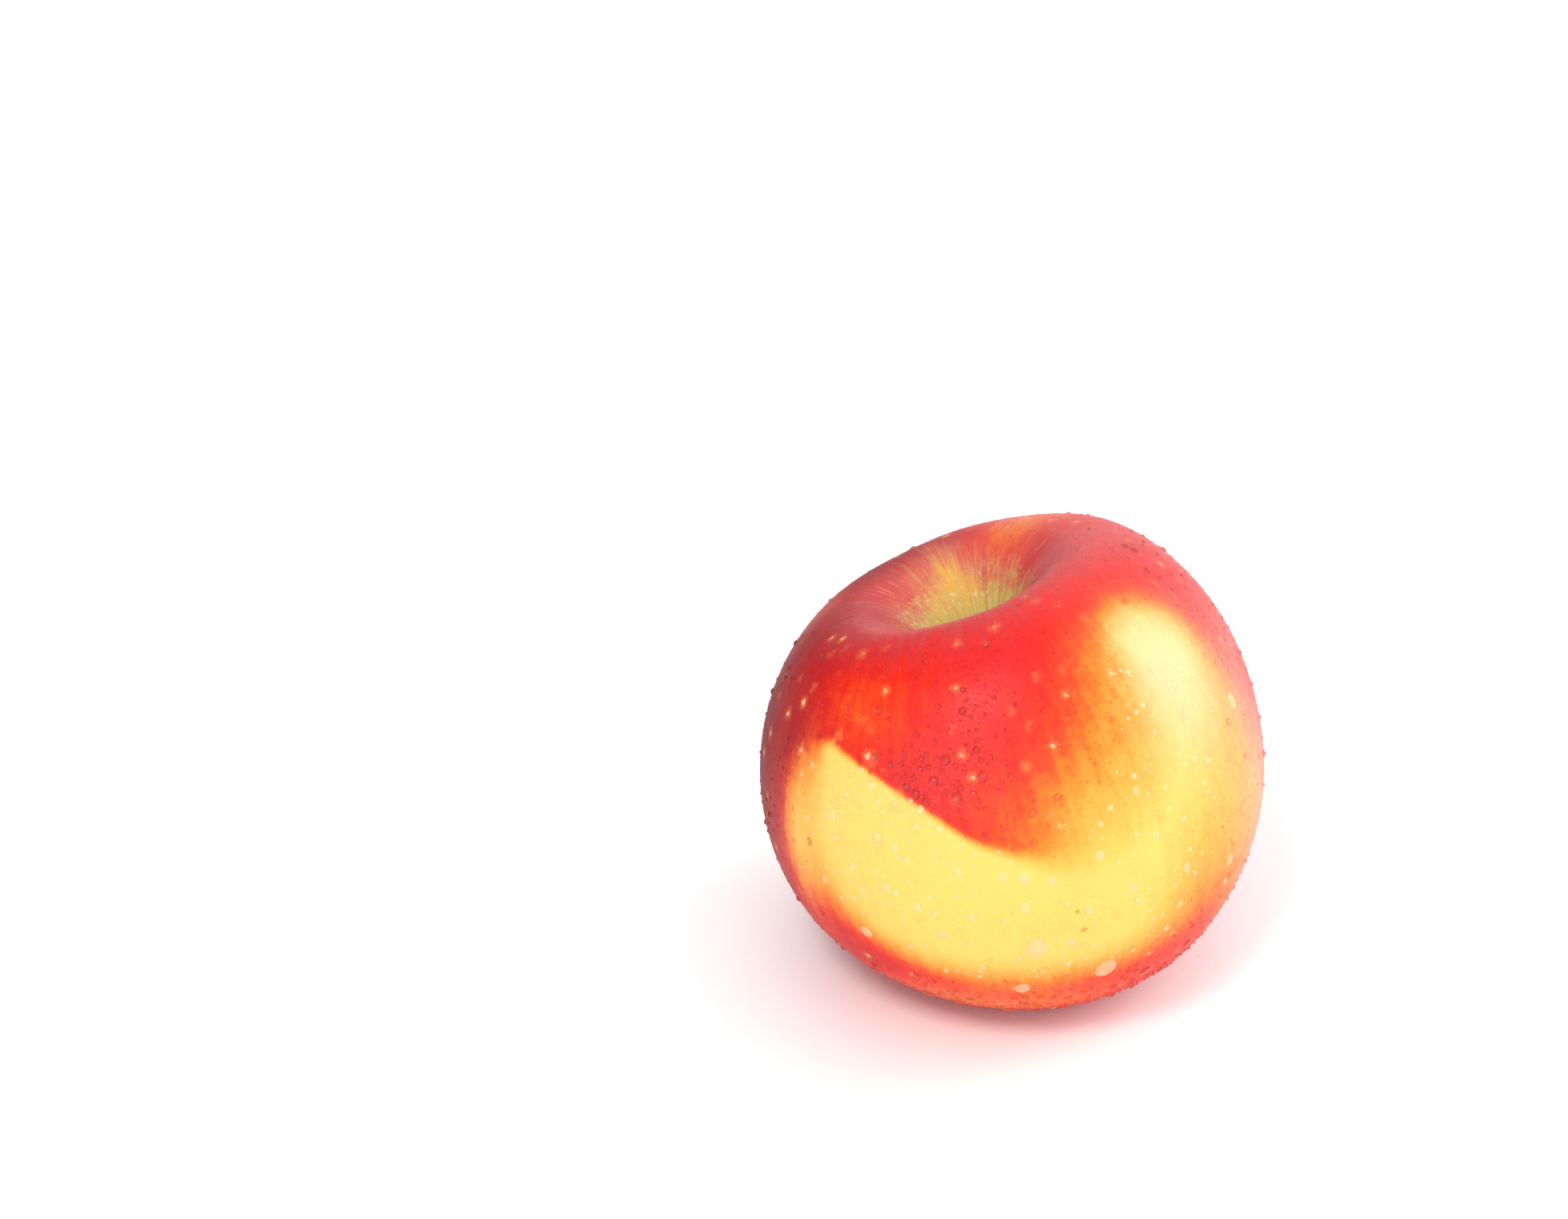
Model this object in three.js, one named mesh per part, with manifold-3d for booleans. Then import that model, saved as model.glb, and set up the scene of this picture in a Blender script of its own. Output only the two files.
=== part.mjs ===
// A dessert apple as picked, standing on the lobes round its calyx: the fruit in one piece, the clipped
// stub of its stem, and the five dried sepals and withered stamens of its calyx.
// Millimetres, +Z up. The origin is on the surface the apple stands on, under the middle of its outline.
// Azimuths are in degrees round +Z from +X. The crown leans sideways, so the stem end faces up and to -X.
//
// Every piece is made about a straight growth axis, with the base ring at z = 0, and asGrown() then gives
// it the lopsided growth and the bend of the real fruit. The flat spot and the origin come last.
import * as THREE from "three";
import { mergeVertices } from "three/addons/utils/BufferGeometryUtils.js";
import Module from "manifold-3d";

// Fruit, measured on the straight growth axis.
const EQUATOR_RADIUS = 37.5;
const EQUATOR_HEIGHT = 32.8; // of the widest girth above the base ring
const FRUIT_HEIGHT = 64.5; // base ring to shoulder ring
const SHOULDER_RADIUS = 17; // ring of highest points round the stem cavity
const CAVITY_DEPTH = 16;
const CAVITY_FLOOR_WIDTH = 3; // how far the cavity's floor runs out before its wall climbs
const CAVITY_LIP = 7.8; // how broadly the cavity's wall rounds over into the shoulder
const SHOULDER_FULLNESS = 11.2; // how far the shoulder runs out level before it turns down
const UPPER_FULLNESS = 15.5; // how far the flank stays upright above the equator
const LOWER_FULLNESS = 19.7; // the same, below the equator
const BASE_FULLNESS = 12.2; // how far the base runs out level from its ring
const BASE_RADIUS = 10.8; // ring of lowest points round the calyx basin
const BASIN_DEPTH = 9;
const BASIN_LIP = 6;
const BASIN_FLOOR_WIDTH = 6;

// Uneven growth.
const LOBES = 5;
const LOBE_HEIGHT = 0.5; // of each lobe below the base ring, and each dip between two above it
const LOBE_AZIMUTH = 222;
const SHOULDER_LIFT = 1.3; // how much higher than the ring the shoulder is on one side, and lower opposite
const SHOULDER_AZIMUTH = 255;
const OVAL_SHARE = 0.015; // the girth is this much wider than round along OVAL_AZIMUTH
const OVAL_AZIMUTH = 35;
const LEAN_AZIMUTH = 168;
const BASE_LEAN = 2.5; // degrees between the growth axis and +Z at the base ring
const CROWN_LEAN = 20.5; // the same at the shoulder ring
const SPOT_DEPTH = 1; // how much of the lowest lobe is taken off for the spot the apple stands on

// Stem, clipped short, in a socket in the cavity's floor.
const STEM_RADIUS = 1.25;
const STEM_FOOT_RADIUS = 1.7;
const STEM_TIP_RADIUS = 1.5;
const STEM_LENGTH = 8; // with the rooted end
const STEM_ROOTED = 3;
const STEM_FLARE = 1.4; // length over which it widens to its foot, and to its clipped end
const STEM_BEND = 0.9; // how far the clipped end stands off the growth axis

// Calyx: sepals round a pit that holds the stamens.
const PIT_RADIUS = 2;
const PIT_DEPTH = 2.5;
const TUFT_LENGTH = 4.5; // with the part inside the pit
const TUFT_ROOT_SHARE = 0.7; // its radius at the pit's floor, as a share of its widest
const TUFT_TIP_SHARE = 0.5;
const SEPALS = 5;
const SEPAL_LENGTH = 4.2;
const SEPAL_WIDTH = 2.6;
const SEPAL_THICKNESS = 0.5;
const SEPAL_ROOT_SHARE = 0.8; // width of a sepal's root, as a share of SEPAL_WIDTH
const SEPAL_BELLY_SHARE = 1.3; // the same, of the width that its curved edges aim for
const SEPAL_BELLY_AT = 0.55; // where along its length they aim for it
const SEPAL_CURL = 55; // degrees that a sepal turns outwards from root to tip
const SEPAL_RING_GAP = 0.8; // between the pit's wall and the inner faces of the sepals
const SEPAL_ROOT_HALF_WIDTH = (SEPAL_WIDTH / 2) * SEPAL_ROOT_SHARE;

const FIT_GAP = 0.3; // between any two pieces that grow together
const AROUND = 60; // facets round the fruit
const HOLE_AROUND = 20; // round the stem's socket and the calyx's pit
const TWIG_AROUND = 12; // round the stem and the tuft
const LEAF_STEPS = 8; // along each edge of a sepal
const ALONG = 9; // facets along each of the outline's four curves
const OVERCUT = 5; // how far a cutting solid runs past what it cuts

const wasm = await Module();
wasm.setup();

// The closed solid of a geometry, with its shared vertices merged.
function solidOf(geometry) {
  const bare = geometry.clone();
  bare.deleteAttribute("normal");
  bare.deleteAttribute("uv");
  const merged = mergeVertices(bare, 1e-4);
  return new wasm.Manifold(
    new wasm.Mesh({
      numProp: 3,
      vertProperties: merged.attributes.position.array,
      triVerts: new Uint32Array(merged.index.array),
    }),
  );
}

function geometryOf(solid) {
  const mesh = solid.getMesh();
  return new THREE.BufferGeometry()
    .setAttribute("position", new THREE.BufferAttribute(mesh.vertProperties, 3))
    .setIndex(new THREE.BufferAttribute(mesh.triVerts, 1));
}

// A closed outline of (radius, height) points, turned about +Z. It runs down the outside, axis to axis.
function turned(outline, facets) {
  const points = outline.map(([radius, height]) => new THREE.Vector2(radius, height)).reverse();
  return new THREE.LatheGeometry(points, facets).rotateX(Math.PI / 2);
}

function moveVertices(geometry, move) {
  const position = geometry.attributes.position;
  const vertex = new THREE.Vector3();
  for (let i = 0; i < position.count; i += 1) {
    vertex.fromBufferAttribute(position, i);
    move(vertex);
    position.setXYZ(i, vertex.x, vertex.y, vertex.z);
  }
  return geometry;
}

// ---- growth ----

// 0 on the axis, 1 at the ring and fading beyond it.
function ringShare(radius, ring) {
  const share = (radius / ring) ** 2;
  return share * Math.exp(1 - share);
}

// 0 at the equator and on its other side, 1 at the end of the fruit that lies at `end`.
function endShare(height, end) {
  const share = (height - EQUATOR_HEIGHT) / (end - EQUATOR_HEIGHT);
  return THREE.MathUtils.clamp(share, 0, 1) ** 1.5;
}

// The uneven shoulders, the lobes of the base and the oval girth.
function unevenGrowth(vertex) {
  const radius = Math.hypot(vertex.x, vertex.y);
  const azimuth = Math.atan2(vertex.y, vertex.x);
  const turnFrom = (degrees) => azimuth - THREE.MathUtils.degToRad(degrees);
  const shoulder = ringShare(radius, SHOULDER_RADIUS) * endShare(vertex.z, FRUIT_HEIGHT);
  const lobe = ringShare(radius, BASE_RADIUS) * endShare(vertex.z, 0);
  const swell = 1 + OVAL_SHARE * Math.cos(2 * turnFrom(OVAL_AZIMUTH));
  vertex.x *= swell;
  vertex.y *= swell;
  vertex.z += SHOULDER_LIFT * shoulder * Math.cos(turnFrom(SHOULDER_AZIMUTH));
  vertex.z -= LOBE_HEIGHT * lobe * Math.cos(LOBES * turnFrom(LOBE_AZIMUTH));
}

// The growth axis as a circular arc: its lean grows evenly from the base ring to the shoulder ring.
function bend(vertex) {
  const baseLean = THREE.MathUtils.degToRad(BASE_LEAN);
  const turnPerMm = THREE.MathUtils.degToRad(CROWN_LEAN - BASE_LEAN) / FRUIT_HEIGHT;
  const lean = baseLean + turnPerMm * vertex.z;
  const towards = new THREE.Vector3(1, 0, 0).applyAxisAngle(
    new THREE.Vector3(0, 0, 1),
    THREE.MathUtils.degToRad(LEAN_AZIMUTH),
  );
  const across = new THREE.Vector3(0, 0, 1).cross(towards);
  const along = vertex.dot(towards);
  const side = vertex.dot(across);
  const axisOut = (Math.cos(baseLean) - Math.cos(lean)) / turnPerMm;
  const axisUp = (Math.sin(lean) - Math.sin(baseLean)) / turnPerMm;
  vertex
    .copy(towards)
    .multiplyScalar(axisOut + along * Math.cos(lean))
    .addScaledVector(across, side);
  vertex.z = axisUp - along * Math.sin(lean);
}

function asGrown(geometry) {
  return moveVertices(geometry, (vertex) => {
    unevenGrowth(vertex);
    bend(vertex);
  });
}

// ---- fruit ----

// Half the fruit's section, from the cavity's floor over the shoulder and equator to the basin's floor.
function fruitOutline() {
  const floor = FRUIT_HEIGHT - CAVITY_DEPTH;
  const curve = (...points) => new THREE.CubicBezierCurve(...points.map((p) => new THREE.Vector2(...p)));
  const curves = [
    curve(
      [0, floor],
      [CAVITY_FLOOR_WIDTH, floor],
      [SHOULDER_RADIUS - CAVITY_LIP, FRUIT_HEIGHT],
      [SHOULDER_RADIUS, FRUIT_HEIGHT],
    ),
    curve(
      [SHOULDER_RADIUS, FRUIT_HEIGHT],
      [SHOULDER_RADIUS + SHOULDER_FULLNESS, FRUIT_HEIGHT],
      [EQUATOR_RADIUS, EQUATOR_HEIGHT + UPPER_FULLNESS],
      [EQUATOR_RADIUS, EQUATOR_HEIGHT],
    ),
    curve(
      [EQUATOR_RADIUS, EQUATOR_HEIGHT],
      [EQUATOR_RADIUS, EQUATOR_HEIGHT - LOWER_FULLNESS],
      [BASE_RADIUS + BASE_FULLNESS, 0],
      [BASE_RADIUS, 0],
    ),
    curve(
      [BASE_RADIUS, 0],
      [BASE_RADIUS - BASIN_LIP, 0],
      [BASIN_FLOOR_WIDTH, BASIN_DEPTH],
      [0, BASIN_DEPTH],
    ),
  ];
  const points = curves.flatMap((part) => part.getPoints(ALONG).slice(0, -1));
  return [...points.map((point) => [point.x, point.y]), [0, BASIN_DEPTH]];
}

// The stem's socket and the calyx's pit, both open towards the skin.
function stemSocket() {
  const floor = FRUIT_HEIGHT - CAVITY_DEPTH;
  const radius = STEM_FOOT_RADIUS + FIT_GAP;
  const bottom = floor - STEM_ROOTED - FIT_GAP;
  const top = floor + OVERCUT;
  return turned([[0, top], [radius, top], [radius, bottom], [0, bottom]], HOLE_AROUND);
}

function calyxPit() {
  const top = BASIN_DEPTH + PIT_DEPTH;
  const bottom = BASIN_DEPTH - OVERCUT;
  return turned([[0, top], [PIT_RADIUS, top], [PIT_RADIUS, bottom], [0, bottom]], HOLE_AROUND);
}

function fruitGeometry() {
  const whole = solidOf(turned(fruitOutline(), AROUND));
  const hollowed = whole.subtract(solidOf(stemSocket())).subtract(solidOf(calyxPit()));
  return asGrown(geometryOf(hollowed));
}

// ---- stem ----

// A stalk that flares at its rooted foot and at the clipped end, and bends a little to one side.
function stemGeometry() {
  const foot = FRUIT_HEIGHT - CAVITY_DEPTH - STEM_ROOTED;
  const outline = [
    [0, STEM_LENGTH],
    [STEM_TIP_RADIUS, STEM_LENGTH],
    [STEM_RADIUS, STEM_LENGTH - STEM_FLARE],
    [STEM_RADIUS, STEM_ROOTED + STEM_FLARE],
    [STEM_FOOT_RADIUS, STEM_ROOTED],
    [STEM_FOOT_RADIUS, 0],
    [0, 0],
  ];
  const stalk = moveVertices(turned(outline, TWIG_AROUND), (vertex) => {
    const free = Math.max(vertex.z - STEM_ROOTED, 0) / (STEM_LENGTH - STEM_ROOTED);
    vertex.x += STEM_BEND * free ** 2;
    vertex.z += foot;
  });
  return asGrown(stalk);
}

// ---- calyx ----

// The withered stamens as one spindle, widest where it comes out of the pit.
function tuftGeometry() {
  const radius = PIT_RADIUS - FIT_GAP;
  const root = BASIN_DEPTH + PIT_DEPTH - FIT_GAP;
  const tip = root - TUFT_LENGTH;
  const outline = [
    [0, root],
    [radius * TUFT_ROOT_SHARE, root],
    [radius, BASIN_DEPTH],
    [radius * TUFT_TIP_SHARE, tip],
    [0, tip],
  ];
  return asGrown(turned(outline, TWIG_AROUND));
}

// Height of the basin's surface at a radius, from the outline's points on either side.
function basinHeight(radius) {
  const basin = fruitOutline().slice(3 * ALONG);
  const i = basin.findIndex(([r]) => r <= radius);
  const [[outerRadius, outerHeight], [innerRadius, innerHeight]] = [basin[i - 1], basin[i]];
  const share = (radius - innerRadius) / (outerRadius - innerRadius);
  return THREE.MathUtils.lerp(innerHeight, outerHeight, share);
}

// A leaf outline drawn along +X and given its thickness in +Z, then curled up about its root.
function sepalBlade() {
  const root = SEPAL_ROOT_HALF_WIDTH;
  const belly = (SEPAL_WIDTH / 2) * SEPAL_BELLY_SHARE;
  const bellyAt = SEPAL_LENGTH * SEPAL_BELLY_AT;
  const leaf = new THREE.Shape()
    .moveTo(0, -root)
    .quadraticCurveTo(bellyAt, -belly, SEPAL_LENGTH, 0)
    .quadraticCurveTo(bellyAt, belly, 0, root)
    .closePath();
  const thick = { depth: SEPAL_THICKNESS, bevelEnabled: false, curveSegments: LEAF_STEPS };
  const blade = new THREE.ExtrudeGeometry(leaf, thick);
  const curl = THREE.MathUtils.degToRad(SEPAL_CURL);
  return moveVertices(blade, (vertex) => {
    const turn = (curl * vertex.x) / SEPAL_LENGTH;
    const bendRadius = SEPAL_LENGTH / curl - vertex.z;
    vertex.x = bendRadius * Math.sin(turn);
    vertex.z = SEPAL_LENGTH / curl - bendRadius * Math.cos(turn);
  });
}

// Each sepal stands off the basin's surface round the pit, points down and curls outwards. The basin is
// lowest over the outer corners of the root, so the gap is kept there, both downwards and outwards.
function sepalGeometry(index) {
  const innerFace = PIT_RADIUS + SEPAL_RING_GAP;
  const outerFace = innerFace + SEPAL_THICKNESS;
  const root = basinHeight(Math.hypot(outerFace + FIT_GAP, SEPAL_ROOT_HALF_WIDTH)) - FIT_GAP;
  const blade = sepalBlade()
    .rotateY(Math.PI / 2)
    .translate(innerFace, 0, root)
    .rotateZ((index / SEPALS) * 2 * Math.PI + THREE.MathUtils.degToRad(LOBE_AZIMUTH));
  return asGrown(blade);
}

// ---- standing on the surface ----

// The fruit with the flat spot taken off the lobes that reach lowest.
function withSpot(fruit) {
  fruit.computeBoundingBox();
  const cutterWidth = 4 * EQUATOR_RADIUS;
  const cutterHeight = SPOT_DEPTH + OVERCUT;
  const cutter = new THREE.BoxGeometry(cutterWidth, cutterWidth, cutterHeight);
  cutter.translate(0, 0, fruit.boundingBox.min.z + SPOT_DEPTH - cutterHeight / 2);
  return geometryOf(solidOf(fruit).subtract(solidOf(cutter)));
}

// ---- materials ----

const skin = new THREE.MeshStandardMaterial({ color: 0xc4262c, roughness: 0.35, metalness: 0 });
const stalkWood = new THREE.MeshStandardMaterial({ color: 0x6b5330, roughness: 0.85, metalness: 0 });
const driedSepal = new THREE.MeshStandardMaterial({ color: 0x5d4a34, roughness: 0.95, metalness: 0 });
const witheredStamen = new THREE.MeshStandardMaterial({ color: 0x3a2a1c, roughness: 0.95, metalness: 0 });

function piece(name, geometry, material) {
  const mesh = new THREE.Mesh(geometry, material);
  mesh.name = name;
  return mesh;
}

const fruit = piece("fruit", withSpot(fruitGeometry()), skin);
const grown = new THREE.Group();
grown.add(fruit);
grown.add(piece("stem", stemGeometry(), stalkWood));
grown.add(piece("stamen_tuft", tuftGeometry(), witheredStamen));
for (let index = 0; index < SEPALS; index += 1) {
  grown.add(piece(`sepal_${index + 1}`, sepalGeometry(index), driedSepal));
}

// The flat spot comes down to z = 0, and the middle of the fruit's outline over the origin.
fruit.geometry.computeBoundingBox();
const middle = fruit.geometry.boundingBox.getCenter(new THREE.Vector3());
grown.position.set(-middle.x, -middle.y, -fruit.geometry.boundingBox.min.z);

const apple = new THREE.Group();
apple.add(grown);

export default apple;
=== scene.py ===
from math import radians

import bpy
import numpy as np
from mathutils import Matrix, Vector


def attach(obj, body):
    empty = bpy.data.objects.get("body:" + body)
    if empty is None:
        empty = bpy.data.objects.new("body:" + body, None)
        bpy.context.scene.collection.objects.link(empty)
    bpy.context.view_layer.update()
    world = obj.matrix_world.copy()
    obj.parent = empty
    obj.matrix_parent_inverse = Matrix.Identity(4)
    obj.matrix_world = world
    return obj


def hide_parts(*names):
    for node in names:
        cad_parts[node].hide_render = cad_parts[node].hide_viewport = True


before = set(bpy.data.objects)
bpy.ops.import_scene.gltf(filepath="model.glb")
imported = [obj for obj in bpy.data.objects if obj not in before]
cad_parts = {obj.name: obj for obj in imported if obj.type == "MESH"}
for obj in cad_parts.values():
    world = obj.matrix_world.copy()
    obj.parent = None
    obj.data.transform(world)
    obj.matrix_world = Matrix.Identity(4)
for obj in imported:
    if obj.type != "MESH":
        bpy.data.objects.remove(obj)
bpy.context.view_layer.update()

# A red and yellow dessert apple, just misted with water, standing on the lobes round its calyx.
# Metres, +Z up. Azimuths are degrees round the growth axis, from +X towards +Y, and "along" is the
# distance in metres down the fruit's outline from the floor of the stem cavity.


# ---- camera, floor and light ----------------------------------------------------------------------
# A white table set: a short telephoto looks down at the apple, which stands right of the middle and
# a little low. White surroundings light it all round, with a large soft box to its right.

VIEW_ELEVATION = radians(30)
VIEW_DISTANCE = 0.652
AIM = Vector((0.0003, -0.0008, 0.0332))
APPLE_RIGHT_OF_MIDDLE = 0.0345
APPLE_BELOW_MIDDLE = 0.0228

camera = bpy.data.objects.new("camera", bpy.data.cameras.new("camera"))
camera.data.lens = 100
camera.data.sensor_width = 36
camera.rotation_euler = (radians(90) - VIEW_ELEVATION, 0, 0)
view_back = camera.rotation_euler.to_matrix() @ Vector((0, 0, VIEW_DISTANCE))
view_up = camera.rotation_euler.to_matrix() @ Vector((0, APPLE_BELOW_MIDDLE, 0))
camera.location = AIM + view_back + view_up - Vector((APPLE_RIGHT_OF_MIDDLE, 0, 0))
bpy.context.scene.collection.objects.link(camera)
bpy.context.scene.camera = camera
bpy.context.scene.view_settings.view_transform = "Standard"

FLOOR_HALF_WIDTH = 1.5
floor_corners = FLOOR_HALF_WIDTH * np.array([[-1, -1, 0], [1, -1, 0], [1, 1, 0], [-1, 1, 0]])
floor_mesh = bpy.data.meshes.new("floor")
floor_mesh.from_pydata(floor_corners.tolist(), [], [(0, 1, 2, 3)])
floor = bpy.data.objects.new("floor", floor_mesh)
bpy.context.scene.collection.objects.link(floor)


def node(tree, kind, inputs=None, **settings):
    """Adds a shader node. An input given as a socket is linked, and any other becomes its value."""
    made = tree.nodes.new(kind)
    for name, value in settings.items():
        setattr(made, name, value)
    for name, value in (inputs or {}).items():
        if isinstance(value, bpy.types.NodeSocket):
            tree.links.new(value, made.inputs[name])
        else:
            made.inputs[name].default_value = value
    return made


def new_material(name, surface):
    """A material whose Principled shader has these fixed values. Returned with it are its node tree,
    its shader and the piece's own (Object) coordinates."""
    material = bpy.data.materials.new(name)
    material.use_nodes = True
    tree = material.node_tree
    shader = tree.nodes["Principled BSDF"]
    for socket, value in surface.items():
        shader.inputs[socket].default_value = value
    return material, tree, shader, node(tree, "ShaderNodeTexCoord").outputs["Object"]


table_white, tree, shader, place = new_material("table_white", {
    "Roughness": 0.8, "Specular IOR Level": 0.2,
})
grain = node(tree, "ShaderNodeTexNoise", {"Vector": place, "Scale": 30.0, "Detail": 4.0})
tint = node(tree, "ShaderNodeMixRGB", {
    "Fac": grain.outputs["Fac"],
    "Color1": (0.95, 0.945, 0.945, 1),
    "Color2": (0.97, 0.965, 0.965, 1),
})
tree.links.new(tint.outputs["Color"], shader.inputs["Base Color"])
floor.data.materials.append(table_white)

# White all round, but for a dark screen on the left that keeps the apple's shaded side deep.
SCREEN_DIRECTION = (-0.90, 0.42, 0.05)
surroundings = bpy.data.worlds.new("surroundings")
surroundings.use_nodes = True
tree = surroundings.node_tree
direction = node(tree, "ShaderNodeTexCoord").outputs["Generated"]
facing = node(tree, "ShaderNodeVectorMath", {0: direction, 1: SCREEN_DIRECTION}, operation="DOT_PRODUCT")
shade = node(tree, "ShaderNodeMapRange", {
    "Value": facing.outputs["Value"], "From Min": 0.40, "From Max": 0.82, "To Min": 1.12, "To Max": 0.08,
}, interpolation_type="SMOOTHSTEP")
tree.links.new(shade.outputs["Result"], tree.nodes["Background"].inputs["Strength"])
tree.nodes["Background"].inputs["Color"].default_value = (1, 1, 1, 1)
bpy.context.scene.world = surroundings


def soft_box(name, width, height, power, direction, distance=0.9):
    """A rectangular light of that size, which faces the apple from a direction at a distance."""
    light = bpy.data.lights.new(name, "AREA")
    light.shape = "RECTANGLE"
    light.size = width
    light.size_y = height
    light.energy = power
    lamp = bpy.data.objects.new(name, light)
    lamp.location = AIM + Vector(direction).normalized() * distance
    lamp.rotation_euler = (lamp.location - AIM).to_track_quat("Z", "Y").to_euler()
    bpy.context.scene.collection.objects.link(lamp)


soft_box("right_box", 0.35, 0.55, 2.7, (0.84, 0.28, 0.47))
soft_box("front_box", 0.9, 0.6, 0.7, (0.1, -0.75, 1.0))
soft_box("small_window", 0.22, 0.22, 2.9, (-0.36, -0.75, 1.0))


# ---- fruit ----------------------------------------------------------------------------------------
# Flesh and skin grew as one body round the core. The skin is thin, waxed and speckled with lenticels:
# red where the sun reached it, yellow where a leaf lay over it, olive and russet down in the cavity.

EQUATOR_RADIUS = 0.0375
EQUATOR_HEIGHT = 0.0328
FRUIT_HEIGHT = 0.0645
SHOULDER_RADIUS = 0.017
CAVITY_DEPTH = 0.016
CAVITY_FLOOR_WIDTH = 0.003
CAVITY_LIP = 0.0078
SHOULDER_FULLNESS = 0.0112
UPPER_FULLNESS = 0.0155
LOWER_FULLNESS = 0.0197
BASE_FULLNESS = 0.0122
BASE_RADIUS = 0.0108
BASIN_DEPTH = 0.009
BASIN_LIP = 0.006
BASIN_FLOOR_WIDTH = 0.006
SOCKET_RADIUS = 0.0019
SOCKET_DEPTH = 0.0032
PIT_RADIUS = 0.002
PIT_DEPTH = 0.0025

LOBES = 5
LOBE_HEIGHT = 0.0005
LOBE_AZIMUTH = 222
SHOULDER_LIFT = 0.0013
SHOULDER_AZIMUTH = 255
OVAL_SHARE = 0.015
OVAL_AZIMUTH = 35
LEAN_AZIMUTH = 168
BASE_LEAN = 2.5
CROWN_LEAN = 20.5
SPOT_DEPTH = 0.001
SPOT_ROUNDING = 0.0003

RINGS = 296
COLUMNS = 316


def bezier(corners, steps=200):
    """Points of a cubic Bezier curve: the four corners weighted by the Bernstein polynomials of t."""
    t = np.linspace(0, 1, steps)[:, None]
    a, b, c, d = np.array(corners, float)
    return (1 - t) ** 3 * a + 3 * (1 - t) ** 2 * t * b + 3 * (1 - t) * t**2 * c + t**3 * d


def fruit_outline(rings):
    """Half the section, from the stem's socket over the shoulder and the equator to the calyx's pit,
    as (radius, height) at even steps, and the distance of each from the cavity's floor."""
    floor_height = FRUIT_HEIGHT - CAVITY_DEPTH
    skin = np.concatenate([
        bezier([(0, floor_height), (CAVITY_FLOOR_WIDTH, floor_height),
                (SHOULDER_RADIUS - CAVITY_LIP, FRUIT_HEIGHT), (SHOULDER_RADIUS, FRUIT_HEIGHT)]),
        bezier([(SHOULDER_RADIUS, FRUIT_HEIGHT), (SHOULDER_RADIUS + SHOULDER_FULLNESS, FRUIT_HEIGHT),
                (EQUATOR_RADIUS, EQUATOR_HEIGHT + UPPER_FULLNESS), (EQUATOR_RADIUS, EQUATOR_HEIGHT)])[1:],
        bezier([(EQUATOR_RADIUS, EQUATOR_HEIGHT), (EQUATOR_RADIUS, EQUATOR_HEIGHT - LOWER_FULLNESS),
                (BASE_RADIUS + BASE_FULLNESS, 0), (BASE_RADIUS, 0)])[1:],
        bezier([(BASE_RADIUS, 0), (BASE_RADIUS - BASIN_LIP, 0),
                (BASIN_FLOOR_WIDTH, BASIN_DEPTH), (0, BASIN_DEPTH)])[1:],
    ])
    middle = len(skin) // 2
    upper = skin[:middle][skin[:middle, 0] > SOCKET_RADIUS]
    lower = skin[middle:][skin[middle:, 0] > PIT_RADIUS]
    socket = [(0.0002, upper[0, 1] - SOCKET_DEPTH), (SOCKET_RADIUS, upper[0, 1] - SOCKET_DEPTH)]
    pit = [(PIT_RADIUS, lower[-1, 1] + PIT_DEPTH), (0.0002, lower[-1, 1] + PIT_DEPTH)]
    outline = np.concatenate([socket, upper, lower, pit])
    along = np.concatenate([[0], np.cumsum(np.hypot(*np.diff(outline, axis=0).T))])
    even = np.linspace(0, along[-1], rings)
    start = along[2] - SOCKET_RADIUS
    return np.interp(even, along, outline[:, 0]), np.interp(even, along, outline[:, 1]), even - start


def ring_share(radius, ring):
    """0 on the axis, 1 at the ring and fading beyond it."""
    share = (radius / ring) ** 2
    return share * np.exp(1 - share)


def end_share(height, end):
    """0 at the equator and on its other side, 1 at the end of the fruit that lies at that height."""
    return np.clip((height - EQUATOR_HEIGHT) / (end - EQUATOR_HEIGHT), 0, 1) ** 1.5


def uneven_and_bent(points):
    """The uneven shoulders, the lobes of the base and the oval girth, then the growth axis as an arc
    whose lean grows evenly from the base ring to the shoulder ring."""
    x, y, height = np.moveaxis(np.asarray(points, float), -1, 0)
    radius, azimuth = np.hypot(x, y), np.arctan2(y, x)
    swell = 1 + OVAL_SHARE * np.cos(2 * (azimuth - radians(OVAL_AZIMUTH)))
    shoulder = ring_share(radius, SHOULDER_RADIUS) * end_share(height, FRUIT_HEIGHT)
    lobe = ring_share(radius, BASE_RADIUS) * end_share(height, 0)
    lifted = height + SHOULDER_LIFT * shoulder * np.cos(azimuth - radians(SHOULDER_AZIMUTH))
    lifted = lifted - LOBE_HEIGHT * lobe * np.cos(LOBES * (azimuth - radians(LOBE_AZIMUTH)))
    turn_per_metre = radians(CROWN_LEAN - BASE_LEAN) / FRUIT_HEIGHT
    lean = radians(BASE_LEAN) + turn_per_metre * lifted
    c, s = np.cos(radians(LEAN_AZIMUTH)), np.sin(radians(LEAN_AZIMUTH))
    towards = swell * (x * c + y * s)
    across = swell * (y * c - x * s)
    out = (np.cos(radians(BASE_LEAN)) - np.cos(lean)) / turn_per_metre + towards * np.cos(lean)
    up = (np.sin(lean) - np.sin(radians(BASE_LEAN))) / turn_per_metre - towards * np.sin(lean)
    return np.stack([out * c - across * s, out * s + across * c, up], -1)


turn = np.linspace(0, 2 * np.pi, COLUMNS, endpoint=False)
outline_radius, outline_height, outline_along = fruit_outline(RINGS)
ring_radius = outline_radius[:, None] + 0 * turn
straight = np.stack([
    ring_radius * np.cos(turn),
    ring_radius * np.sin(turn),
    outline_height[:, None] + 0 * turn,
], -1)
skin_grid = uneven_and_bent(straight)
ORIGIN_SHIFT = np.array([
    (skin_grid[..., 0].min() + skin_grid[..., 0].max()) / 2,
    (skin_grid[..., 1].min() + skin_grid[..., 1].max()) / 2,
    skin_grid[..., 2].min() + SPOT_DEPTH,
])


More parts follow.
